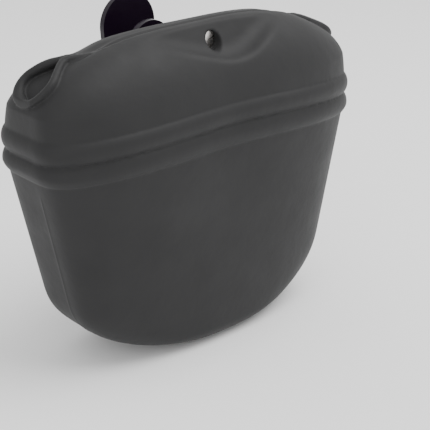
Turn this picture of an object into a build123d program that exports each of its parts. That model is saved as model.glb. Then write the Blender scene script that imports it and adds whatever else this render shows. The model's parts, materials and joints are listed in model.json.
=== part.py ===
from build123d import *
import os
from math import cos, copysign, pi, radians, sin, tan

# Pocket treat pouch: a hollow silicone bowl with two ribs, a domed top whose front lip bends open,
# a magnet in each lip, and a plastic spring clip on the back.
# Millimetres. X runs along the length, +Y to the back (the clip side), +Z up.
# The origin is the centre of the small flat that the pouch stands on.

# --- Silicone form ---
WALL = 2.2
HEIGHT = 105.0
HALF_LENGTH = 62.2        # plain wall at the ribs
FRONT_DEPTH = 20.5        # from the parting plane of the mould to the front
BACK_DEPTH = 24.0         # and to the back
RIB_LEVEL = 68.0          # height where the three sizes above are measured
LENGTH_TAPER = 0.22       # half length lost for each mm below the ribs
DEPTH_TAPER = 0.054
END_ROUND_HEIGHT = 23.8   # the ends turn under below this height
END_ROUND_SIZE = 61.0
END_ROUND_POWER = 2.52
SIDE_ROUND_HEIGHT = 5.9   # the front and back turn under below this height
SIDE_ROUND_SIZE = 12.7
SIDE_ROUND_POWER = 2.0
FLAT_CUT = 1.0            # how much of the round bottom the flat takes off
FRONT_POWER = 2.7         # plan section: an oval at the front
BACK_POWER = 4.0          # and a squarer one at the back
RING_POINTS = 36
BOWL_LEVELS = (0.0, 1.2, 3.0, 6.0, 10.0, 15.0, 22.0, 34.0, 50.0, 66.0, 78.0)

# --- Dome above the ribs ---
SHOULDER = 78.0           # the dome starts here
ARCH_HALF_LENGTH = 63.2   # the top, seen from the front, is a squarish half ellipse this long
ARCH_POWER = 2.4
DOME_RISES = (0.2, 0.4, 0.56, 0.7, 0.81, 0.89, 0.945, 0.98, 0.997)

# --- Ribs ---
RIB_HEIGHT = 5.2
RIB_LEVELS = (65.4, 72.2)
RIB_PROUD_ENDS = 1.2
RIB_PROUD_SIDES = 1.6

# --- Mouth ---
LIP_GAP = 0.2             # from the middle plane to each lip
LIP_RIM_Z = 101.5         # the front lip is solid above this
SEAM_Z = 77.9             # the front lip bends here
SEAM_GAP = 0.35
TEARDROP_RADIUS = 5.0     # the blind flex recesses at both ends of the mouth
TEARDROP_TIP = 12.0
TEARDROP_X = 56.0
TEARDROP_Y = 5.3          # clear of the front lip
TEARDROP_Z = 93.2
TEARDROP_SLOPE = (0.65, 0.1, 0.75)        # outwards, backwards and up
TEARDROP_SHOULDER_HEIGHT = 0.5    # where the straight sides leave the circle, in radii
TEARDROP_SHOULDER_WIDTH = 0.86
TEARDROP_WEB = 1.0        # silicone left under a recess

# --- Finger scoop in the front lip: a slanting wall above a trough with a round bottom ---
SCOOP_TOP_Y = -2.5        # the wall meets the top of the dome here
SCOOP_WALL_LEAN = 30.0    # degrees from upright
SCOOP_X = 4.5
SCOOP_BOTTOM = 93.6
SCOOP_BOW = 25.0          # radius of the trough's bottom, seen from the front
SCOOP_RISES = (16.0, 23.0)        # degrees that its left and right sides rise
SCOOP_RUN = 60.0          # of each side, well past the dome
SCOOP_REACH = 40.0
SCOOP_CORNER = 4.0        # radius between wall and floor

# --- Magnets ---
MAGNET_RADIUS = 3.5
MAGNET_THICK = 2.0
MAGNET_SKIN = 1.3         # silicone between a magnet and the mouth
MAGNET_X = 1.1
MAGNET_Z = 98.2
MAGNET_CLEAR = 0.05
MAGNET_CHAMFER = 0.25
WITNESS_RADIUS = 2.9      # hole in the front that shows the magnet
HOUSING_HALF_WIDTH = 9.0
HOUSING_DEPTH = 5.4
HOUSING_BOTTOM = 89.0

# --- Clip ---
PAD_Y = 22.4              # outer face of the flat recess in the back wall
PAD_INNER_Y = 19.7
PAD_HALF_WIDTH = 12.0
PAD_BOTTOM = 44.0
PAD_TOP = 90.0
PAD_CORNER = 3.0
BASE_THICK = 3.0
BASE_WIDTH = 16.0
BASE_BOTTOM = 46.0
BASE_TOP = 100.0
PIVOT_Y = 29.2
PIVOT_Z = 82.0
PIN_RADIUS = 1.5
PIN_HEAD_RADIUS = 2.4
PIN_HEAD_THICK = 0.8
PIN_RUNNING_CLEAR = 0.06
BASE_EAR_RADIUS = 3.2
BASE_EAR_X = 5.8
EAR_THICK = 2.0
ARM_EAR_RADIUS = 3.0
ARM_EAR_X = 3.4
ARM_THICK = 2.6
ARM_INNER_Y = 33.0
ARM_WIDTH = 22.0          # before it is cut to its outline
ARM_END_WIDTH = 13.0      # width at the nose, between its rounded corners
ARM_END_CORNER = 3.5
ARM_BOTTOM = 46.5
ARM_BEND_Z = 86.5
ARM_BEND_RISE = 4.5
DISC_INNER_Y = 34.2
DISC_RADIUS = 10.7
DISC_Z = 96.5
DISC_DISH_RADIUS = 34.0   # the thumb hollow in its outer face
DISC_DISH_DEPTH = 0.9
NOSE_TOP = 55.0
NOSE_SLOPE_TOP = 61.0
JAW_GAP = 0.3
EDGE_ROUND = 0.7          # of the clip's outer edges
EAR_ROOT = 0.5            # how far the ears run into the jaws
TOOTH_COUNT = 3
TOOTH_DEPTH = 0.8
TOOTH_PITCH = 2.2
TOOTH_START = 2.0         # from the end of the nose to the first groove

# --- Fixing of the clip ---
POST_RADIUS = 3.0
POST_CLEAR = 0.05
POST_LEVELS = (61.0, 75.0)
SCREW_RADIUS = 1.45
SCREW_LENGTH = 6.2
SCREW_HEAD_RADIUS = 2.8
SCREW_HEAD_HEIGHT = 1.8
SCREW_HEAD_ROUND = 0.7
SCREW_HOLE_CLEAR = 0.02
SCREW_TIP_CLEAR = 0.4
CROSS_LENGTH = 3.2        # cross recess in a screw's head
CROSS_WIDTH = 0.7
CROSS_DEPTH = 0.9
PLATE_THICK = 2.0
PLATE_WIDTH = 18.0
PLATE_HEIGHT = 26.0
PLATE_CORNER = 3.0
PLATE_EDGE = 0.6

# --- Torsion spring ---
WIRE_RADIUS = 0.45
COIL_RADIUS = 2.4
COIL_PITCH = 1.05
COIL_TURNS = 4.5
LEG_LENGTH = 7.0


def rounding(z, height, size, power):
    """How far a wall has turned in at height z, below the height where it starts to."""
    u = max(0.0, (height - z) / (height + FLAT_CUT))
    return size * (1 - (1 - u**power) ** (1 / power))


def bowl_section(z, inset):
    """Height, half length, front depth and back depth of the bowl's section at height z."""
    below = max(0.0, RIB_LEVEL - z)
    half_length = HALF_LENGTH - inset - LENGTH_TAPER * below
    half_length -= rounding(z, END_ROUND_HEIGHT, END_ROUND_SIZE, END_ROUND_POWER)
    side_loss = inset + DEPTH_TAPER * below
    side_loss += rounding(z, SIDE_ROUND_HEIGHT, SIDE_ROUND_SIZE, SIDE_ROUND_POWER)
    lift = inset * max(0.0, 1 - z / SHOULDER)
    return z + lift, half_length, FRONT_DEPTH - side_loss, BACK_DEPTH - side_loss


def dome_section(rise, inset):
    """Height, half length, front and back depth of the dome's section at a share of its rise."""
    z = SHOULDER + rise * (HEIGHT - inset - SHOULDER)
    arch = (ARCH_HALF_LENGTH - inset) * (1 - rise**ARCH_POWER) ** (1 / ARCH_POWER)
    narrowing = (1 - rise**2) ** 0.5
    half_length = min(HALF_LENGTH - inset, arch)
    return z, half_length, (FRONT_DEPTH - inset) * narrowing, (BACK_DEPTH - inset) * narrowing


def plan_point(turn, half_length, front, back):
    """One point of a plan section, turn radians round from +X."""
    power, depth = (BACK_POWER, back) if sin(turn) > 0 else (FRONT_POWER, front)
    x = copysign(abs(cos(turn)) ** (2 / power), cos(turn)) * half_length
    y = copysign(abs(sin(turn)) ** (2 / power), sin(turn)) * depth
    return x, y


def plan_section(z, half_length, front, back):
    """A plan section at height z, as a flat face."""
    turns = [2 * pi * i / RING_POINTS for i in range(RING_POINTS)]
    with BuildSketch(Plane.XY.offset(z)) as section:
        with BuildLine():
            Spline(*[plan_point(t, half_length, front, back) for t in turns], periodic=True)
        make_face()
    return section.sketch


def form_sections(inset):
    """All plan sections of the pouch from the bottom to the crest, inset from the outside."""
    levels = [bowl_section(z, inset) for z in BOWL_LEVELS]
    levels += [dome_section(rise, inset) for rise in DOME_RISES]
    return [plan_section(*level) for level in levels]


def teardrop(side):
    """The rounded recess behind one end of the mouth, drawn square to the dome, at its floor."""
    out, rear, up = TEARDROP_SLOPE
    floor = WALL - TEARDROP_WEB
    place = Plane(
        origin=(side * (TEARDROP_X - out * floor), TEARDROP_Y, TEARDROP_Z - up * floor),
        x_dir=(0, 1, 0),
        z_dir=(side * out, rear, up),
    )
    tip = TEARDROP_TIP * side
    shoulder = TEARDROP_RADIUS * TEARDROP_SHOULDER_HEIGHT * side
    half = TEARDROP_RADIUS * TEARDROP_SHOULDER_WIDTH
    with BuildSketch(place) as section:
        Circle(TEARDROP_RADIUS)
        Polygon((-half, shoulder), (half, shoulder), (0, tip), align=None)
    return section.sketch


def scoop(grow):
    """The space that the finger scoop takes out of the front lip, grown by grow on every side."""
    lean = radians(SCOOP_WALL_LEAN)
    wall = Plane(
        origin=(0, SCOOP_TOP_Y + grow / cos(lean), HEIGHT),
        x_dir=(1, 0, 0),
        z_dir=(0, -cos(lean), sin(lean)),
    )
    left, right = (radians(rise) for rise in SCOOP_RISES)
    bow = SCOOP_BOW + grow
    low_x = SCOOP_X + bow * (1 / cos(right) - 1 / cos(left)) / (tan(left) + tan(right))
    low = SCOOP_BOTTOM + SCOOP_BOW - bow / cos(left) + (SCOOP_X - low_x) * tan(left)
    left_end = (low_x - SCOOP_RUN, low + SCOOP_RUN * tan(left))
    right_end = (low_x + SCOOP_RUN, low + SCOOP_RUN * tan(right))
    with BuildPart() as space:
        with BuildSketch(Plane.XZ):
            with BuildLine():
                trough = FilletPolyline(left_end, (low_x, low), right_end, radius=bow)
                Line(trough @ 0, trough @ 1)
            make_face()
        extrude(amount=SCOOP_REACH)
        split(bisect_by=wall, keep=Keep.TOP)
        wall_edges = space.faces().filter_by(wall).edges().sort_by(Axis.Z)
        fillet(wall_edges[:3], SCOOP_CORNER + grow)
    return space.part


def facing_back(y):
    """A plane across the pouch at y, facing the back, with its own Y up."""
    return Plane(origin=(0, y, 0), x_dir=(-1, 0, 0), z_dir=(0, 1, 0))


BIG = 200.0               # more than the whole pouch
SMALL_STEP = 0.05         # less than any feature
CENTRE_LOW = (Align.CENTER, Align.MIN, Align.MIN)
CENTRE_HIGH = (Align.CENTER, Align.MAX, Align.MIN)

os.makedirs("parts", exist_ok=True)

# --- pouch_body: everything but the front lip ---
with BuildPart() as pouch_cavity:
    loft(form_sections(WALL))
    with Locations((0, PAD_INNER_Y, PAD_BOTTOM)):
        Box(2 * PAD_HALF_WIDTH, BIG, PAD_TOP - PAD_BOTTOM, align=CENTRE_LOW, mode=Mode.SUBTRACT)
    with Locations((0, 0, HOUSING_BOTTOM)):
        Box(2 * HOUSING_HALF_WIDTH, HOUSING_DEPTH, BIG, align=CENTRE_LOW, mode=Mode.SUBTRACT)

with BuildPart() as pouch_body:
    loft(form_sections(0))
    for rib_z in RIB_LEVELS:
        rib = plan_section(
            rib_z,
            HALF_LENGTH + RIB_PROUD_ENDS,
            FRONT_DEPTH + RIB_PROUD_SIDES,
            BACK_DEPTH + RIB_PROUD_SIDES,
        )
        extrude(rib, amount=RIB_HEIGHT)
    with BuildSketch(facing_back(PAD_Y)):
        with Locations((0, (PAD_BOTTOM + PAD_TOP) / 2)):
            RectangleRounded(2 * PAD_HALF_WIDTH, PAD_TOP - PAD_BOTTOM, PAD_CORNER)
    extrude(amount=BIG, mode=Mode.SUBTRACT)
    add(pouch_cavity.part, mode=Mode.SUBTRACT)
    with Locations((0, LIP_GAP, SEAM_Z - SEAM_GAP)):
        Box(BIG, BIG, BIG, align=CENTRE_HIGH, mode=Mode.SUBTRACT)
    for side in (-1, 1):
        extrude(teardrop(side), amount=TEARDROP_TIP, mode=Mode.SUBTRACT)
    with BuildSketch(facing_back(LIP_GAP + MAGNET_SKIN)):
        with Locations((-MAGNET_X, MAGNET_Z)):
            Circle(MAGNET_RADIUS + MAGNET_CLEAR)
    extrude(amount=MAGNET_THICK + MAGNET_CLEAR, mode=Mode.SUBTRACT)
    with BuildSketch(facing_back(PAD_INNER_Y - PLATE_THICK)):
        with Locations(*[(0, z) for z in POST_LEVELS]):
            Circle(POST_RADIUS + POST_CLEAR)
    extrude(amount=BIG, mode=Mode.SUBTRACT)
pouch_body.part.label = "pouch_body"
export_step(pouch_body.part, "parts/pouch_body.step")

# --- front_lip: the part of the silicone that bends open ---
with BuildPart() as lip_cavity:
    loft(form_sections(WALL))
    add(scoop(WALL), mode=Mode.SUBTRACT)
    with Locations((0, 0, LIP_RIM_Z)):
        Box(BIG, BIG, BIG, align=(Align.CENTER, Align.CENTER, Align.MIN), mode=Mode.SUBTRACT)
    with Locations((0, 0, HOUSING_BOTTOM)):
        Box(2 * HOUSING_HALF_WIDTH, HOUSING_DEPTH, BIG, align=CENTRE_HIGH, mode=Mode.SUBTRACT)

with BuildPart() as front_lip:
    loft(form_sections(0))
    add(lip_cavity.part, mode=Mode.SUBTRACT)
    add(scoop(0), mode=Mode.SUBTRACT)
    with Locations((0, -LIP_GAP, 0)):
        Box(BIG, BIG, BIG, align=CENTRE_LOW, mode=Mode.SUBTRACT)
    with Locations((0, 0, SEAM_Z)):
        Box(BIG, BIG, BIG, align=(Align.CENTER, Align.CENTER, Align.MAX), mode=Mode.SUBTRACT)
    with BuildSketch(facing_back(-LIP_GAP - MAGNET_SKIN)):
        with Locations((-MAGNET_X, MAGNET_Z)):
            Circle(MAGNET_RADIUS + MAGNET_CLEAR)
    extrude(amount=-MAGNET_THICK - MAGNET_CLEAR, mode=Mode.SUBTRACT)
    with BuildSketch(facing_back(-LIP_GAP - MAGNET_SKIN)):
        with Locations((-MAGNET_X, MAGNET_Z)):
            Circle(WITNESS_RADIUS)
    extrude(amount=-SCOOP_REACH, mode=Mode.SUBTRACT)
front_lip.part.label = "front_lip"
export_step(front_lip.part, "parts/front_lip.step")

# --- Magnets ---
with BuildPart() as front_magnet:
    with BuildSketch(facing_back(-LIP_GAP - MAGNET_SKIN)):
        with Locations((-MAGNET_X, MAGNET_Z)):
            Circle(MAGNET_RADIUS)
    extrude(amount=-MAGNET_THICK)
    chamfer(front_magnet.edges(), MAGNET_CHAMFER)
front_magnet.part.label = "front_magnet"
export_step(front_magnet.part, "parts/front_magnet.step")

with BuildPart() as back_magnet:
    with BuildSketch(facing_back(LIP_GAP + MAGNET_SKIN)):
        with Locations((-MAGNET_X, MAGNET_Z)):
            Circle(MAGNET_RADIUS)
    extrude(amount=MAGNET_THICK)
    chamfer(back_magnet.edges(), MAGNET_CHAMFER)
back_magnet.part.label = "back_magnet"
export_step(back_magnet.part, "parts/back_magnet.step")

# --- clip_base: inner jaw ---
BASE_OUTER_Y = PAD_Y + BASE_THICK
with BuildPart() as clip_base:
    with BuildSketch(facing_back(PAD_Y)):
        with Locations((0, BASE_BOTTOM)):
            Rectangle(BASE_WIDTH, BASE_TOP - BASE_WIDTH / 2 - BASE_BOTTOM, align=(Align.CENTER, Align.MIN))
        with Locations((0, BASE_TOP - BASE_WIDTH / 2)):
            Circle(BASE_WIDTH / 2)
    extrude(amount=BASE_THICK)
    fillet(clip_base.faces().sort_by(Axis.Y)[-1].edges(), EDGE_ROUND)
    for side in (-1, 1):
        with BuildSketch(Plane.YZ.offset(side * BASE_EAR_X)):
            with Locations((PIVOT_Y, PIVOT_Z)):
                Circle(BASE_EAR_RADIUS)
            with Locations((PIVOT_Y, PIVOT_Z)):
                Rectangle(
                    PIVOT_Y - BASE_OUTER_Y + EAR_ROOT,
                    2 * BASE_EAR_RADIUS,
                    align=(Align.MAX, Align.CENTER),
                )
            with Locations((PIVOT_Y, PIVOT_Z)):
                Circle(PIN_RADIUS, mode=Mode.SUBTRACT)
        extrude(amount=side * EAR_THICK)
    with BuildSketch(facing_back(PAD_INNER_Y)):
        with Locations(*[(0, z) for z in POST_LEVELS]):
            Circle(POST_RADIUS)
    extrude(amount=PAD_Y - PAD_INNER_Y)
    with BuildSketch(facing_back(PAD_INNER_Y)):
        with Locations(*[(0, z) for z in POST_LEVELS]):
            Circle(SCREW_RADIUS + SCREW_HOLE_CLEAR)
    extrude(amount=SCREW_LENGTH - PLATE_THICK + SCREW_TIP_CLEAR, mode=Mode.SUBTRACT)
clip_base.part.label = "clip_base"
export_step(clip_base.part, "parts/clip_base.step")

# --- clip_arm: outer jaw, thumb disc and gripping nose ---
ARM_OUTER_Y = ARM_INNER_Y + ARM_THICK
NOSE_Y = BASE_OUTER_Y + JAW_GAP
with BuildPart() as clip_arm:
    with BuildSketch(Plane.YZ.offset(-ARM_WIDTH / 2)):
        Polygon(
            (NOSE_Y, ARM_BOTTOM),
            (ARM_OUTER_Y, ARM_BOTTOM),
            (ARM_OUTER_Y, ARM_BEND_Z),
            (DISC_INNER_Y + ARM_THICK, ARM_BEND_Z + ARM_BEND_RISE),
            (DISC_INNER_Y + ARM_THICK, DISC_Z + DISC_RADIUS),
            (DISC_INNER_Y, DISC_Z + DISC_RADIUS),
            (DISC_INNER_Y, ARM_BEND_Z + ARM_BEND_RISE),
            (ARM_INNER_Y, ARM_BEND_Z),
            (ARM_INNER_Y, NOSE_SLOPE_TOP),
            (NOSE_Y, NOSE_TOP),
            align=None,
        )
    extrude(amount=ARM_WIDTH)
    with BuildSketch(facing_back(0)):
        with Locations((0, DISC_Z)):
            Circle(DISC_RADIUS)
        with Locations((0, ARM_BOTTOM + ARM_END_WIDTH / 2)):
            RectangleRounded(ARM_END_WIDTH, ARM_END_WIDTH, ARM_END_CORNER)
        make_hull()
    extrude(amount=BIG, mode=Mode.INTERSECT)
    outer = clip_arm.edges().filter_by(lambda e: e.center().Y > ARM_OUTER_Y - SMALL_STEP)
    fillet(outer.filter_by(Axis.X, reverse=True) + outer.filter_by(Axis.X).sort_by(Axis.Z)[:1], EDGE_ROUND)
    with Locations((0, DISC_INNER_Y + ARM_THICK - DISC_DISH_DEPTH + DISC_DISH_RADIUS, DISC_Z)):
        Sphere(DISC_DISH_RADIUS, mode=Mode.SUBTRACT)
    for side in (-1, 1):
        with BuildSketch(Plane.YZ.offset(side * ARM_EAR_X)):
            with Locations((PIVOT_Y, PIVOT_Z)):
                Circle(ARM_EAR_RADIUS)
            with Locations((PIVOT_Y, PIVOT_Z)):
                Rectangle(
                    ARM_INNER_Y - PIVOT_Y + EAR_ROOT,
                    2 * ARM_EAR_RADIUS,
                    align=(Align.MIN, Align.CENTER),
                )
            with Locations((PIVOT_Y, PIVOT_Z)):
                Circle(PIN_RADIUS + PIN_RUNNING_CLEAR, mode=Mode.SUBTRACT)
        extrude(amount=side * EAR_THICK)
    with BuildSketch(Plane.YZ.offset(-ARM_WIDTH)):
        for tooth in range(TOOTH_COUNT):
            middle = ARM_BOTTOM + TOOTH_START + TOOTH_PITCH * tooth
            Polygon(
                (NOSE_Y - JAW_GAP, middle - TOOTH_DEPTH),
                (NOSE_Y + TOOTH_DEPTH, middle),
                (NOSE_Y - JAW_GAP, middle + TOOTH_DEPTH),
                align=None,
            )
    extrude(amount=2 * ARM_WIDTH, mode=Mode.SUBTRACT)
clip_arm.part.label = "clip_arm"
export_step(clip_arm.part, "parts/clip_arm.step")

# --- pivot_pin ---
PIN_HALF = BASE_EAR_X + EAR_THICK
with BuildPart() as pivot_pin:
    with BuildSketch(Plane.YZ.offset(-PIN_HALF)):
        with Locations((PIVOT_Y, PIVOT_Z)):
            Circle(PIN_RADIUS)
    extrude(amount=2 * PIN_HALF)
    for side in (-1, 1):
        with BuildSketch(Plane.YZ.offset(side * PIN_HALF)):
            with Locations((PIVOT_Y, PIVOT_Z)):
                Circle(PIN_HEAD_RADIUS)
        extrude(amount=side * PIN_HEAD_THICK)
pivot_pin.part.label = "pivot_pin"
export_step(pivot_pin.part, "parts/pivot_pin.step")

# --- torsion_spring: a coil round the pin with one leg up each jaw ---
COIL_WIDTH = COIL_PITCH * COIL_TURNS
coil_place = Plane(
    origin=(-COIL_WIDTH / 2, PIVOT_Y, PIVOT_Z),
    x_dir=(0, -1, 0),
    z_dir=(1, 0, 0),
)
coil_path = coil_place * Helix(COIL_PITCH, COIL_WIDTH, COIL_RADIUS)
with BuildPart() as torsion_spring:
    with BuildSketch(Plane(origin=coil_path @ 0, z_dir=coil_path % 0)):
        Circle(WIRE_RADIUS)
    sweep(path=coil_path, is_frenet=True)
    for end in (0, 1):
        with BuildSketch(Plane(origin=coil_path @ end, z_dir=(0, 0, 1))):
            Circle(WIRE_RADIUS)
        extrude(amount=LEG_LENGTH)
        with Locations(coil_path @ end):
            Sphere(WIRE_RADIUS)
torsion_spring.part.label = "torsion_spring"
export_step(torsion_spring.part, "parts/torsion_spring.step")

# --- backing_plate inside the pouch ---
with BuildPart() as backing_plate:
    with BuildSketch(facing_back(PAD_INNER_Y - PLATE_THICK)):
        with Locations((0, sum(POST_LEVELS) / 2)):
            RectangleRounded(PLATE_WIDTH, PLATE_HEIGHT, PLATE_CORNER)
        with Locations(*[(0, z) for z in POST_LEVELS]):
            Circle(SCREW_RADIUS + SCREW_HOLE_CLEAR, mode=Mode.SUBTRACT)
    extrude(amount=PLATE_THICK)
    fillet(backing_plate.faces().sort_by(Axis.Y)[0].outer_wire().edges(), PLATE_EDGE)
backing_plate.part.label = "backing_plate"
export_step(backing_plate.part, "parts/backing_plate.step")

# --- clip_screws: two pan-head screws ---
HEAD_Y = PAD_INNER_Y - PLATE_THICK
with BuildPart() as clip_screws:
    with BuildSketch(facing_back(HEAD_Y - SCREW_HEAD_HEIGHT)):
        with Locations(*[(0, z) for z in POST_LEVELS]):
            Circle(SCREW_HEAD_RADIUS)
    extrude(amount=SCREW_HEAD_HEIGHT)
    fillet(clip_screws.faces().sort_by(Axis.Y)[:2].edges(), SCREW_HEAD_ROUND)
    with BuildSketch(facing_back(HEAD_Y)):
        with Locations(*[(0, z) for z in POST_LEVELS]):
            Circle(SCREW_RADIUS)
    extrude(amount=SCREW_LENGTH)
    with BuildSketch(facing_back(HEAD_Y - SCREW_HEAD_HEIGHT)):
        with Locations(*[(0, z) for z in POST_LEVELS]):
            Rectangle(CROSS_LENGTH, CROSS_WIDTH)
            Rectangle(CROSS_WIDTH, CROSS_LENGTH)
    extrude(amount=CROSS_DEPTH, mode=Mode.SUBTRACT)
clip_screws.part.label = "clip_screws"
export_step(clip_screws.part, "parts/clip_screws.step")
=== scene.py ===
import json
import math

import bmesh
import bpy
import numpy as np
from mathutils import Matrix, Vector


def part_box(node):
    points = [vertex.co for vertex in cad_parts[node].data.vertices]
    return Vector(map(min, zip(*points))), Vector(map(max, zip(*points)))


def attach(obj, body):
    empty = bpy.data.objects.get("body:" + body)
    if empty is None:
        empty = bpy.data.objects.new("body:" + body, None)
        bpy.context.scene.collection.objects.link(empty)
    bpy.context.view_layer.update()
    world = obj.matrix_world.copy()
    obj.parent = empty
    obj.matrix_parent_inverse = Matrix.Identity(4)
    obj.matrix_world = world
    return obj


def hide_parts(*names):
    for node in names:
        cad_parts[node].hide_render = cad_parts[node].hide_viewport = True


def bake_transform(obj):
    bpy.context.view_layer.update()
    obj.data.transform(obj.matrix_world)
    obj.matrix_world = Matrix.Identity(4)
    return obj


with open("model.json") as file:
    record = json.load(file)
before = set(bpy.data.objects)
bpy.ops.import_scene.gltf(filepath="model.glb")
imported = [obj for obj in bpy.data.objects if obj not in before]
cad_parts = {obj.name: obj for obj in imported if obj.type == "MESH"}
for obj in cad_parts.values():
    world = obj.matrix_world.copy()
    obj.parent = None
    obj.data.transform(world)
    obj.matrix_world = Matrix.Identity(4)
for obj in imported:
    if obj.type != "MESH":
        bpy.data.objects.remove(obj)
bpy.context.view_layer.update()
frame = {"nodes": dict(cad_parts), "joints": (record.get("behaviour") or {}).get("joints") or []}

MM = 0.001
FAR = 99                           # a distance, in millimetres, that is outside everything

# --- Silicone form, in millimetres: the driving sizes of the CAD, within half a millimetre ---
WALL = 2.2
HEIGHT = 104.7
HALF_LENGTH = 62.0
FRONT_DEPTH = 20.5                 # from the parting plane of the mould to the front
BACK_DEPTH = 24.0                  # and to the back
RIB_LEVEL = 68.0
LENGTH_TAPER = 0.22
DEPTH_TAPER = 0.054
END_ROUND = (23.8, 61.0, 2.52)     # height, size and power of the turn under at the ends
SIDE_ROUND = (5.9, 12.7, 2.0)      # and at the front and back
FLAT_CUT = 1.0
FRONT_POWERS = (2.7, 2.2)          # squareness of the plan section, at the ribs and at the crest
BACK_POWERS = (6.0, 3.0)
SHOULDER = 78.0
ARCH_HALF_LENGTH = 63.2            # the top, seen from the front, is a squarish half ellipse
ARCH_POWER = 2.4
FRONT_PINCH = 2.0                  # how far the magnets pull the middle of the front in
PINCH_REACH = 26.0                 # along the length
PINCH_START = 25.0                 # height above which it grows to its full depth
PINCH_RISE = 45.0
BASE_EDGE = 1.2                    # rounding at the flat
TABLE_HEIGHTS = (-4.0, HEIGHT + 6, 600)     # the form's sizes are tabulated by height

# --- Ribs ---
RIB_MIDDLES = (68.2, 75.0)         # at the ends
RIB_HALF = 3.35
RIB_PROUD = (1.3, 1.25)            # at the middle of the length and at the ends
RIB_ARCH = 3.0                     # the ribs rise this much towards the middle of the length

# --- Mouth: a seam along the crest that opens into a beaded, webbed teardrop at each end ---
TURN = (42.0, 82.0)                # the crest's ends turn down about this point
TURN_RADIUS = 20.0
TEARDROP_RADIUS = 6.8
TEARDROP_LOW = 60.5                # along the crest line, from the middle of the length
TEARDROP_HIGH = 49.0
TEARDROP_TIP = 0.8
TEARDROP_SHIFT = 4.7               # towards the back
WEB_DEPTH = 1.6                    # of a teardrop's floor below the form, in its middle
WEB_TILT = 0.28                    # the floor is deeper towards the front
WEB_THICK = 1.6
TEARDROP_EDGE = 1.4                # rounding where it leaves the form
BEAD_RADII = (1.2, 1.7)            # in front of the mouth and behind it
BEAD_LIFT = (-1.2, 0.7)            # on the crest, where the beads have sunk in, and at the ends
BEAD_FADE = (34.0, 52.0)           # distances from the middle between which they rise
BEAD_SINKS = (0.4, 1.9)            # the beads lie this much lower behind the left and right teardrops
BEAD_BEHIND = (2.0, 9.0)           # y between which a bead takes its size and height behind the mouth
BEAD_EDGE = 0.6
SEAM_GROOVE = 0.5
SEAM_WIDTH = 0.7
SEAM_RISE = 8.0
PARTING_PROUD = 0.12               # the mould's parting line, under the ribs
PARTING_WIDTH = 0.5
PARTING_FADE = (58.0, 62.0)

# dips of the crest: middle and reach along the length, and depth
LIP_DIP = (38.5, 5.5, 1.4)         # of the back lip behind each teardrop's tip
LIP_DIP_FADE = (-1.0, 3.0)         # y between which it comes in
CREST_SAGS = ((-8.0, 26.0, 0.9), (51.0, 9.0, 1.2))     # left of the middle, and at the right

# --- Finger scoop, magnet housing and witness hole ---
SCOOP_TOP_Y = -3.0
SCOOP_WALL_LEAN = math.radians(30)
SCOOP_X = 4.5
SCOOP_BOTTOM = 93.6
SCOOP_BOW = 25.0                   # radius of the trough's bottom, seen from the front
SCOOP_RISES = (math.radians(16), math.radians(23))     # of its left and right sides
SCOOP_CORNER = 4.0
SCOOP_ROLL = (0.8, 1.6)            # rounding of its edge, at the crest and at the front
SCOOP_ROLL_FADE = (3.0, 11.0)      # distances in front of the mouth between which it changes
HOUSING_LOW = (-9.0, -5.4, 89.0)
HOUSING_HIGH = (9.0, 5.4, HEIGHT + 20)
HOUSING_ROUND = 1.5
HOLE_RADIUS = 2.9
HOLE_EDGE = 0.5
MAGNET_CLEARANCE = 0.03

# --- Inside ---
INSIDE_EDGE = 1.0                  # rounding where the recess and the housing stand into the hollow
SCOOP_INSIDE_EDGE = 1.5
HOLLOW_EDGE = 0.5

# --- Sizes read from the frame, in millimetres ---
magnet_low, magnet_high = (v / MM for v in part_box("front_magnet"))
MAGNET_X = (magnet_low.x + magnet_high.x) / 2
MAGNET_Z = (magnet_low.z + magnet_high.z) / 2
MAGNET_RADIUS = (magnet_high.z - magnet_low.z) / 2
MAGNET_FACE = -magnet_low.y
MAGNET_MIDDLE = -(magnet_low.y + magnet_high.y) / 2
plate_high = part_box("backing_plate")[1] / MM

# --- Recess for the clip in the back wall, and the wall's bulge inside it ---
RECESS_LOW = (-12.0, 22.4, 44.0)
RECESS_HIGH = (12.0, 60.0, 90.0)
LINING_LOW = (-12.0, plate_high.y, 44.0)
RECESS_ROUND = 2.5

# --- Torsion spring, in metres ---
WIRE_RADIUS = 0.00045
SPRING_TURNS = 4.5
LEG_DROPS = (0, 0.002, 0.004, 0.0055)      # of the leg's points below the top of the spring


def material(name, colour, roughness, build=None, **sockets):
    """A Principled material. build adds its procedural detail; sockets holds its constant values."""
    mat = bpy.data.materials.new(name)
    mat.use_nodes = True
    tree = mat.node_tree
    shader = tree.nodes["Principled BSDF"]
    shader.inputs["Base Color"].default_value = (*colour, 1)
    shader.inputs["Roughness"].default_value = roughness
    for socket, value in sockets.items():
        shader.inputs[socket.replace("_", " ")].default_value = value
    if build:
        build(tree, shader)
    return mat


def noise(tree, scale, detail=3.0, stretch=(1, 1, 1)):
    """A noise texture on object coordinates, scale in cycles for each metre."""
    place = tree.nodes.new("ShaderNodeTexCoord")
    mapping = tree.nodes.new("ShaderNodeMapping")
    mapping.inputs["Scale"].default_value = stretch
    tree.links.new(place.outputs["Object"], mapping.inputs["Vector"])
    texture = tree.nodes.new("ShaderNodeTexNoise")
    texture.inputs["Scale"].default_value = scale
    texture.inputs["Detail"].default_value = detail
    tree.links.new(mapping.outputs["Vector"], texture.inputs["Vector"])
    return texture.outputs["Fac"]


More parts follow.
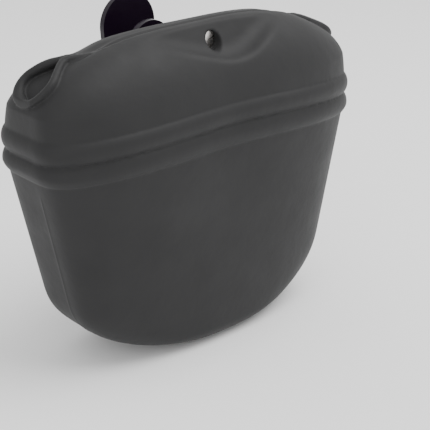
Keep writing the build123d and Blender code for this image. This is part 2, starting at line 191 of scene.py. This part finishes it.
def ramp(tree, source, low, high):
    """source, from 0.3 to 0.7, as a value or colour from low to high."""
    node = tree.nodes.new("ShaderNodeMix" if isinstance(low, tuple) else "ShaderNodeMapRange")
    if isinstance(low, tuple):
        node.data_type = "RGBA"
        node.inputs["A"].default_value = (*low, 1)
        node.inputs["B"].default_value = (*high, 1)
        spread = ramp(tree, source, 0.0, 1.0)
        tree.links.new(spread, node.inputs["Factor"])
        return node.outputs["Result"]
    node.inputs["From Min"].default_value = 0.3
    node.inputs["From Max"].default_value = 0.7
    node.inputs["To Min"].default_value = low
    node.inputs["To Max"].default_value = high
    tree.links.new(source, node.inputs["Value"])
    return node.outputs["Result"]


def bump(tree, shader, source, distance, strength=1.0, under=None):
    """source as a bump that is distance metres high."""
    node = tree.nodes.new("ShaderNodeBump")
    node.inputs["Distance"].default_value = distance
    node.inputs["Strength"].default_value = strength
    tree.links.new(source, node.inputs["Height"])
    if under:
        tree.links.new(under, node.inputs["Normal"])
    tree.links.new(node.outputs["Normal"], shader.inputs["Normal"])
    return node.outputs["Normal"]


SILICONE_DARK = (0.0135, 0.0135, 0.0140)
SILICONE_LIGHT = (0.0170, 0.0170, 0.0175)


def silicone_detail(tree, shader):
    """Faint clouding, a fine moulded grain and a little variation in gloss."""
    clouds = ramp(tree, noise(tree, 38, 4), SILICONE_DARK, SILICONE_LIGHT)
    tree.links.new(clouds, shader.inputs["Base Color"])
    tree.links.new(ramp(tree, noise(tree, 90, 3), 0.54, 0.62), shader.inputs["Roughness"])
    broad = bump(tree, shader, noise(tree, 260, 2), 0.00012)
    bump(tree, shader, noise(tree, 5200, 2), 0.00002, under=broad)


def plastic_detail(tree, shader):
    """Slight flow marks and fine scuffs in the gloss."""
    tree.links.new(ramp(tree, noise(tree, 160, 4), 0.14, 0.24), shader.inputs["Roughness"])
    bump(tree, shader, noise(tree, 300, 2), 0.00002)


def steel_detail(tree, shader):
    """Drawn or turned metal: fine streaks along X."""
    streaks = noise(tree, 900, 4, stretch=(0.1, 1, 1))
    tree.links.new(ramp(tree, streaks, 0.24, 0.42), shader.inputs["Roughness"])
    bump(tree, shader, streaks, 0.00001)


def nickel_detail(tree, shader):
    """Nickel plate with a mild orange peel."""
    tree.links.new(ramp(tree, noise(tree, 500, 3), 0.20, 0.34), shader.inputs["Roughness"])
    bump(tree, shader, noise(tree, 1200, 2), 0.00001)


silicone = material("silicone", SILICONE_LIGHT, 0.56, silicone_detail, Specular_IOR_Level=0.22,
                    Sheen_Weight=0.03, Sheen_Roughness=0.6)
# the clip's base colour is near-black plastic with a faint purple tint that is a painted reflection
clip_plastic = material("clip_plastic", (0.008, 0.004, 0.010), 0.2, plastic_detail,
                        Specular_IOR_Level=0.24)
plate_plastic = material("plate_plastic", (0.025, 0.025, 0.027), 0.5, plastic_detail)
steel = material("steel", (0.60, 0.60, 0.61), 0.3, steel_detail, Metallic=1.0)
nickel = material("nickel", (0.80, 0.77, 0.74), 0.2, nickel_detail, Metallic=1.0)


# --- Formulas of the silicone ---
def rounding(z, height, size, power):
    """How far a wall has turned in at height z, below the height where it starts to."""
    u = np.clip((height - z) / (height + FLAT_CUT), 0, 1)
    return size * (1 - (1 - u**power) ** (1 / power))


def crest(x, inset):
    """Height of the crest line above x."""
    share = np.minimum(np.abs(x), HALF_LENGTH - inset) / (ARCH_HALF_LENGTH - inset)
    return SHOULDER + (HEIGHT - inset - SHOULDER) * (1 - share**ARCH_POWER) ** (1 / ARCH_POWER)


def half_sizes(z, inset):
    """Half length, front depth, back depth and share of the dome's rise at height z."""
    low = z - inset * np.clip(1 - z / SHOULDER, 0, 1)
    below = np.maximum(0, RIB_LEVEL - low)
    rise = np.clip((z - SHOULDER) / (HEIGHT - inset - SHOULDER), 0, 1)
    length = HALF_LENGTH - LENGTH_TAPER * below - rounding(low, *END_ROUND) - inset
    arch = (ARCH_HALF_LENGTH - inset) * (1 - rise**ARCH_POWER) ** (1 / ARCH_POWER)
    length = np.maximum(np.minimum(length, arch), 0.4)
    loss = DEPTH_TAPER * below + rounding(low, *SIDE_ROUND) + inset
    depths = [np.maximum((d - loss) * np.sqrt(1 - rise**2), 0.4) for d in (FRONT_DEPTH, BACK_DEPTH)]
    return length, *depths, rise


def form(x, y, z, inset):
    """Below 0 inside the plain form of the pouch, above 0 outside."""
    heights = np.linspace(*TABLE_HEIGHTS)
    length, front, back, rise = (np.interp(z, heights, v) for v in half_sizes(heights, inset))
    pull = np.clip((z - PINCH_START) / PINCH_RISE, 0, 1)
    pinch = FRONT_PINCH * np.exp(-((x / PINCH_REACH) ** 2)) * pull
    front = front * (1 - pinch / FRONT_DEPTH)
    power = np.where(
        y < 0,
        FRONT_POWERS[0] + (FRONT_POWERS[1] - FRONT_POWERS[0]) * rise,
        BACK_POWERS[0] + (BACK_POWERS[1] - BACK_POWERS[0]) * rise,
    )
    across = np.maximum(np.abs(y), 1e-6) / np.where(y < 0, front, back)
    along = np.maximum(np.abs(x), 1e-6) / length
    return (along**power + across**power) ** (1 / power) - 1


def gradient(field, x, y, z, step=0.25):
    """The three slopes of a field at some points."""
    return (
        (field(x + step, y, z) - field(x - step, y, z)) / (2 * step),
        (field(x, y + step, z) - field(x, y - step, z)) / (2 * step),
        (field(x, y, z + step) - field(x, y, z - step)) / (2 * step),
    )


def form_distance(x, y, z, inset):
    """Roughly the distance in millimetres from the plain form."""
    slopes = gradient(lambda a, b, c: form(a, b, c, inset), x, y, z)
    steep = np.sqrt(sum(s * s for s in slopes))
    plan = form(x, y, z, inset) / np.maximum(steep, 1e-3)
    lean = (crest(x + 0.1, inset) - crest(x - 0.1, inset)) / 0.2
    over = (z - crest(x, inset)) / np.sqrt(1 + lean**2)
    under = inset - z
    return smooth_max(np.maximum(plan, over), under, BASE_EDGE)


def smooth_min(a, b, k):
    """The lesser of two fields, rounded where they meet."""
    h = np.clip(0.5 + 0.5 * (b - a) / k, 0, 1)
    return b + (a - b) * h - k * h * (1 - h)


def smooth_max(a, b, k):
    """The greater of two fields, rounded where they meet."""
    return -smooth_min(-a, -b, k)


def block(x, y, z, low, high, edge):
    """Distance from a box with rounded edges."""
    q = []
    for value, lo, hi in zip((x, y, z), low, high):
        q.append(np.abs(value - (lo + hi) / 2) - (hi - lo) / 2 + edge)
    outside = np.sqrt(sum(np.maximum(v, 0) ** 2 for v in q))
    return outside + np.minimum(np.maximum(np.maximum(q[0], q[1]), q[2]), 0) - edge


def scoop(x, y, z):
    """Distance from the space of the finger scoop: in front of its wall and above its trough."""
    wall = (SCOOP_TOP_Y - y) * math.cos(SCOOP_WALL_LEAN) + (z - HEIGHT) * math.sin(SCOOP_WALL_LEAN)
    out = np.abs(x - SCOOP_X)
    up = z - SCOOP_BOTTOM - SCOOP_BOW
    rise = np.where(x < SCOOP_X, *SCOOP_RISES)
    side = (up + SCOOP_BOW / np.cos(rise)) * np.cos(rise) - out * np.sin(rise)
    trough = np.where(-up * np.tan(rise) > out, SCOOP_BOW - np.hypot(out, up), side)
    return -smooth_min(wall, trough, SCOOP_CORNER)


def smooth_step(value, low, high):
    """0 below low, 1 above high, and a smooth rise between them."""
    share = np.clip((value - low) / (high - low), 0, 1)
    return share * share * (3 - 2 * share)


def mouth(x, y, z):
    """Distance over the surface from a teardrop's edge, below 0 inside it, and from the beads' line.

    The third value is 0 along the crest and 1 at the teardrops.
    """
    side = np.abs(x)
    angle = np.arctan2(np.maximum(side - TURN[0], 0), np.maximum(z - TURN[1], 1e-3))
    below = np.maximum(TURN[1] - z, 0)
    along = np.where(side < TURN[0], side, TURN[0] + TURN_RADIUS * angle + below)
    end = smooth_step(along, *BEAD_FADE)
    across = np.abs(y - TEARDROP_SHIFT * end)
    # two circles with their common tangents make the teardrop
    span = TEARDROP_LOW - TEARDROP_HIGH
    down = TEARDROP_LOW - along
    slope = (TEARDROP_RADIUS - TEARDROP_TIP) / span
    tangent = math.sqrt(1 - slope**2)
    k = -slope * across + tangent * down
    drop = across * tangent + down * slope - TEARDROP_RADIUS
    drop = np.where(k < 0, np.hypot(across, down) - TEARDROP_RADIUS, drop)
    drop = np.where(k > tangent * span, np.hypot(across, down - span) - TEARDROP_TIP, drop)
    drop = np.where(z > SHOULDER, drop, FAR)
    crest_line = np.abs(across - TEARDROP_TIP)
    on_crest = (along < TEARDROP_HIGH) & (z > SHOULDER)
    line = np.minimum(np.abs(drop), np.where(on_crest, crest_line, FAR))
    return drop, line, end


def ribs(x, z):
    """How far the two ribs stand out of the plain form."""
    share = np.clip(np.abs(x) / HALF_LENGTH, 0, 1)
    proud = RIB_PROUD[0] + (RIB_PROUD[1] - RIB_PROUD[0]) * share**4
    height = z - RIB_ARCH * (1 - share**2)
    return proud * sum(np.maximum(0, 1 - ((height - m) / RIB_HALF) ** 2) ** 0.8 for m in RIB_MIDDLES)


def sag(x, middle, reach, depth):
    """A smooth dip of the crest."""
    return depth * np.exp(-(((x - middle) / reach) ** 2))


def silicone_field(x, y, z):
    """Roughly the distance from the whole silicone moulding, with its mouth shut."""
    outer = form_distance(x, y, z, 0)
    inner = form_distance(x, y, z, WALL)
    drop, line, end = mouth(x, y, z)
    behind = smooth_step(y, *BEAD_BEHIND)

    dip = sag(np.abs(x), *LIP_DIP) * smooth_step(y, *LIP_DIP_FADE)
    dip = dip + sum(sag(x, *sizes) for sizes in CREST_SAGS)
    dip = dip * smooth_step(z, SHOULDER, HEIGHT)
    outer = outer + dip
    inner = inner + dip
    solid = outer - ribs(x, z)
    recess = block(x, y, z, RECESS_LOW, RECESS_HIGH, RECESS_ROUND)
    lining = block(x, y, z, LINING_LOW, RECESS_HIGH, RECESS_ROUND)
    solid = smooth_max(solid, -recess, INSIDE_EDGE)
    hollow = smooth_max(inner, -lining, INSIDE_EDGE)

    dent = scoop(x, y, z)
    roll = SCOOP_ROLL[0] + (SCOOP_ROLL[1] - SCOOP_ROLL[0]) * smooth_step(-y, *SCOOP_ROLL_FADE)
    solid = smooth_max(solid, -dent, roll)
    hollow = smooth_max(hollow, WALL - dent, SCOOP_INSIDE_EDGE)
    housing = block(x, y, z, HOUSING_LOW, HOUSING_HIGH, HOUSING_ROUND)
    hollow = smooth_max(hollow, -housing, INSIDE_EDGE)
    floor = WEB_DEPTH - WEB_TILT * (y - TEARDROP_SHIFT)
    hollow = hollow + np.maximum(0, floor + WEB_THICK - WALL) * smooth_step(-drop, -3, 0)
    solid = smooth_max(solid, -hollow, HOLLOW_EDGE)

    solid = smooth_max(solid, -np.maximum(drop, -(outer + floor)), TEARDROP_EDGE)
    lift = BEAD_LIFT[0] + (BEAD_LIFT[1] - BEAD_LIFT[0]) * end
    lift = lift - np.where(x < 0, *BEAD_SINKS) * behind
    radius = BEAD_RADII[0] + (BEAD_RADII[1] - BEAD_RADII[0]) * behind
    bead = np.maximum(np.hypot(line, outer - lift) - radius, -dent)
    solid = smooth_min(solid, bead, BEAD_EDGE)
    groove = SEAM_GROOVE * np.exp(-((y / SEAM_WIDTH) ** 2)) * (1 - end)
    solid = solid + groove * smooth_step(z, SHOULDER, SHOULDER + SEAM_RISE)
    parting = PARTING_PROUD * np.exp(-((y / PARTING_WIDTH) ** 2))
    solid = solid - parting * smooth_step(-z, -PARTING_FADE[1], -PARTING_FADE[0])

    hole = np.hypot(x - MAGNET_X, z - MAGNET_Z) - HOLE_RADIUS
    solid = smooth_max(solid, -np.maximum(hole, MAGNET_FACE + y), HOLE_EDGE)
    pocket = np.hypot(x - MAGNET_X, z - MAGNET_Z) - MAGNET_RADIUS - MAGNET_CLEARANCE
    thick = np.abs(np.abs(y) - MAGNET_MIDDLE) - MAGNET_FACE + MAGNET_MIDDLE
    return np.maximum(solid, -np.maximum(pocket, thick))


def surface_nets(values, origin, step):
    """Points and quads of the surface where a grid of values crosses 0."""
    inside = values < 0
    shape = tuple(n - 1 for n in values.shape)

    def corner(grid, c):
        return grid[c[0]:c[0] + shape[0], c[1]:c[1] + shape[1], c[2]:c[2] + shape[2]]

    corners = [(i, j, k) for i in (0, 1) for j in (0, 1) for k in (0, 1)]
    count = sum(corner(inside, c).astype(np.int8) for c in corners)
    active = (count > 0) & (count < 8)
    cells = np.argwhere(active)
    number = np.full(shape, -1, np.int64)
    number[active] = np.arange(len(cells))

    total = np.zeros((len(cells), 3))
    hits = np.zeros(len(cells))
    for a in corners:
        for axis in range(3):
            if a[axis]:
                continue
            b = tuple(1 if n == axis else a[n] for n in range(3))
            va = corner(values, a)[active]
            vb = corner(values, b)[active]
            crossed = (va < 0) != (vb < 0)
            share = np.where(crossed, va / np.where(crossed, va - vb, 1), 0)
            point = np.array(a, float) + np.outer(share, np.array(b) - np.array(a))
            total += point * crossed[:, None]
            hits += crossed
    points = (cells + total / hits[:, None]) * step + origin

    quads = []
    for axis in range(3):
        u, v = [n for n in range(3) if n != axis]
        first = inside[tuple(slice(0, -1) if n == axis else slice(1, -1) for n in range(3))]
        second = inside[tuple(slice(1, None) if n == axis else slice(1, -1) for n in range(3))]
        where = np.argwhere(first != second)
        lead = first[tuple(where.T)]
        where[:, [u, v]] += 1
        ring = []
        for du, dv in ((-1, -1), (0, -1), (0, 0), (-1, 0)):
            cell = where.copy()
            cell[:, u] += du
            cell[:, v] += dv
            ring.append(number[tuple(cell.T)])
        ring = np.stack(ring, 1)
        flip = lead if axis == 1 else ~lead
        ring[flip] = ring[flip][:, ::-1]
        quads.append(ring)
    return points, np.concatenate(quads)


def settle(field, points, rounds=3):
    """Moves points on to the surface where the field is 0."""
    for _ in range(rounds):
        x, y, z = points.T
        value = field(x, y, z)
        slopes = np.stack(gradient(field, x, y, z, 0.1), 1)
        size = np.maximum((slopes**2).sum(1), 0.04)
        move = -slopes * (value / size)[:, None]
        length = np.linalg.norm(move, axis=1, keepdims=True)
        points = points + move * np.minimum(1, 0.4 / np.maximum(length, 1e-9))
    return points


def field_mesh(field, low, high, step):
    """Points, in millimetres, and quads of the surface of a field inside a box."""
    axes = [np.arange(a, b, step) for a, b in zip(low, high)]
    values = np.empty([len(a) for a in axes])
    y, z = np.meshgrid(axes[1], axes[2], indexing="ij")
    chunk = 16
    for i in range(0, len(axes[0]), chunk):
        x = axes[0][i:i + chunk][:, None, None]
        x, yy, zz = np.broadcast_arrays(x, y[None], z[None])
        values[i:i + chunk] = field(x, yy, zz)
    points, quads = surface_nets(values, np.array(low), step)
    return settle(field, points), quads


def half_of(name, points, quads, side):
    """One half of the moulding as a closed mesh object, cut at the mould's parting plane."""
    mesh = bpy.data.meshes.new(name)
    mesh.from_pydata((points * MM).tolist(), [], quads.tolist())
    bm = bmesh.new()
    bm.from_mesh(mesh)
    cut = bmesh.ops.bisect_plane(
        bm,
        geom=bm.verts[:] + bm.edges[:] + bm.faces[:],
        dist=1e-7,
        plane_co=(0, 0, 0),
        plane_no=(0, side, 0),
        clear_inner=True,
    )
    rim = [e for e in cut["geom_cut"] if isinstance(e, bmesh.types.BMEdge)]
    for face in bm.faces:
        face.smooth = True
    filled = bmesh.ops.triangle_fill(bm, edges=rim, use_beauty=True)
    for e in rim:
        e.smooth = False
    for face in (f for f in filled["geom"] if isinstance(f, bmesh.types.BMFace)):
        face.smooth = False
    bmesh.ops.recalc_face_normals(bm, faces=bm.faces[:])
    bm.to_mesh(mesh)
    bm.free()
    piece = bpy.data.objects.new(name, mesh)
    bpy.context.scene.collection.objects.link(piece)
    mesh.materials.append(silicone)
    return piece


STEP = 0.6
points, quads = field_mesh(
    silicone_field,
    (-HALF_LENGTH - 4, -STEP * (math.ceil((FRONT_DEPTH + 4) / STEP) + 0.5), -1.5),
    (HALF_LENGTH + 4, BACK_DEPTH + 5, HEIGHT + 3),
    STEP,
)
silicone_back = half_of("silicone_back", points, quads, 1)
silicone_front = half_of("silicone_front", points, quads, -1)
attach(silicone_back, "pouch")
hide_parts("pouch_body")
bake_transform(silicone_front)
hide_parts("front_lip")


# --- Torsion spring ---
def tube(name, path, radius, sides=12):
    """A closed round tube along points, in metres."""
    path = [Vector(p) for p in path]
    bm = bmesh.new()
    rings = []
    across = Vector((1, 0.2, 0.1))
    for i, p in enumerate(path):
        ahead = (path[min(i + 1, len(path) - 1)] - path[max(i - 1, 0)]).normalized()
        across = (across - across.dot(ahead) * ahead).normalized()
        other = ahead.cross(across)
        turns = [2 * math.pi * n / sides for n in range(sides)]
        ring = [bm.verts.new(p + radius * (math.cos(t) * across + math.sin(t) * other)) for t in turns]
        rings.append(ring)
    for a, b in zip(rings, rings[1:]):
        for n in range(sides):
            bm.faces.new((a[n], a[(n + 1) % sides], b[(n + 1) % sides], b[n]))
    for ring in (rings[0][::-1], rings[-1]):
        bm.faces.new(ring)
    for face in bm.faces:
        face.smooth = len(face.verts) == 4
    mesh = bpy.data.meshes.new(name)
    bm.to_mesh(mesh)
    bm.free()
    piece = bpy.data.objects.new(name, mesh)
    bpy.context.scene.collection.objects.link(piece)
    return piece


def spring_path():
    """One leg down the inner jaw, the coil round the pin, and one leg up the outer jaw."""
    low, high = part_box("torsion_spring")
    squeeze = next(j for j in frame["joints"] if j["name"] == "clip_squeeze")
    pivot = Vector(squeeze["pos_m"])
    radius = (high.y - low.y) / 2 - WIRE_RADIUS
    left, right = low.x + WIRE_RADIUS, high.x - WIRE_RADIUS
    steps = int(SPRING_TURNS * 24)
    path = [Vector((left, pivot.y - radius, high.z - drop)) for drop in LEG_DROPS]
    for i in range(steps + 1):
        angle = 2 * math.pi * SPRING_TURNS * i / steps
        across = Vector((0, -math.cos(angle), -math.sin(angle))) * radius
        path.append(pivot + across + Vector((left + (right - left) * i / steps, 0, 0)))
    path += [Vector((right, pivot.y + radius, high.z - drop)) for drop in LEG_DROPS[::-1]]
    return path, left, right


path, left, right = spring_path()
spring = tube("spring_wire", path, WIRE_RADIUS)
spring.data.materials.append(steel)
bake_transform(spring)
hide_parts("torsion_spring")


# --- CAD nodes that keep their shape ---
def finish_node(name, mat, bevel):
    """Gives a CAD node its material and, where bevel is not 0, softens its edges by that many metres."""
    node = frame["nodes"][name]
    node.data.materials.clear()
    node.data.materials.append(mat)
    if bevel:
        soft = node.modifiers.new("soft_edges", "BEVEL")
        soft.width = bevel
        soft.segments = 2
        soft.limit_method = "ANGLE"
        soft.angle_limit = math.radians(50)
        soft.harden_normals = True


for name, mat, bevel in (
    ("clip_base", clip_plastic, 0.0003),
    ("clip_arm", clip_plastic, 0.0003),
    ("pivot_pin", steel, 0.0002),
    ("backing_plate", plate_plastic, 0),
    ("clip_screws", steel, 0),
    ("front_magnet", nickel, 0),
    ("back_magnet", nickel, 0),
):
    finish_node(name, mat, bevel)


# --- Stage: floor, light and camera ---
def floor():
    """The pale floor under the base of the pouch."""
    mesh = bpy.data.meshes.new("floor")
    size = 3.0
    corners = [(-size, -size, 0), (size, -size, 0), (size, size, 0), (-size, size, 0)]
    mesh.from_pydata(corners, [], [(0, 1, 2, 3)])
    piece = bpy.data.objects.new("floor", mesh)
    bpy.context.scene.collection.objects.link(piece)
    mesh.materials.append(material("floor", (0.95, 0.95, 0.95), 0.8))


def area_light(name, place, target, size, power):
    """A round soft light at place, turned to target."""
    light = bpy.data.lights.new(name, "AREA")
    light.shape = "DISK"
    light.size = size
    light.energy = power
    lamp = bpy.data.objects.new(name, light)
    lamp.location = place
    lamp.rotation_mode = "QUATERNION"
    lamp.rotation_quaternion = (Vector(place) - Vector(target)).to_track_quat("Z", "Y")
    bpy.context.scene.collection.objects.link(lamp)


def world_light(strength):
    """Even white light from all sides."""
    world = bpy.data.worlds.new("studio")
    world.use_nodes = True
    world.node_tree.nodes["Background"].inputs["Color"].default_value = (1, 1, 1, 1)
    world.node_tree.nodes["Background"].inputs["Strength"].default_value = strength
    bpy.context.scene.world = world


def camera():
    """The photograph's view: from the front left and a little above."""
    azimuth, elevation, distance = math.radians(-41.2), math.radians(20.7), 0.3645
    target = Vector((0, 0, 0.0525))
    back = Vector((
        math.sin(azimuth) * math.cos(elevation),
        -math.cos(azimuth) * math.cos(elevation),
        math.sin(elevation),
    ))
    data = bpy.data.cameras.new("camera")
    data.lens = 93.6
    data.sensor_width = 36
    data.shift_x = 0.042
    data.shift_y = -0.093
    data.clip_start = 0.01
    lens = bpy.data.objects.new("camera", data)
    lens.location = target + back * distance
    lens.rotation_mode = "QUATERNION"
    lens.rotation_quaternion = back.to_track_quat("Z", "Y")
    bpy.context.scene.collection.objects.link(lens)
    bpy.context.scene.camera = lens


floor()
world_light(1.08)
area_light("key", (0.3, -0.25, 0.8), target=(0, 0, 0.06), size=0.8, power=7)
area_light("fill", (-0.7, -0.3, 0.35), target=(0, 0, 0.05), size=0.6, power=1.5)
camera()
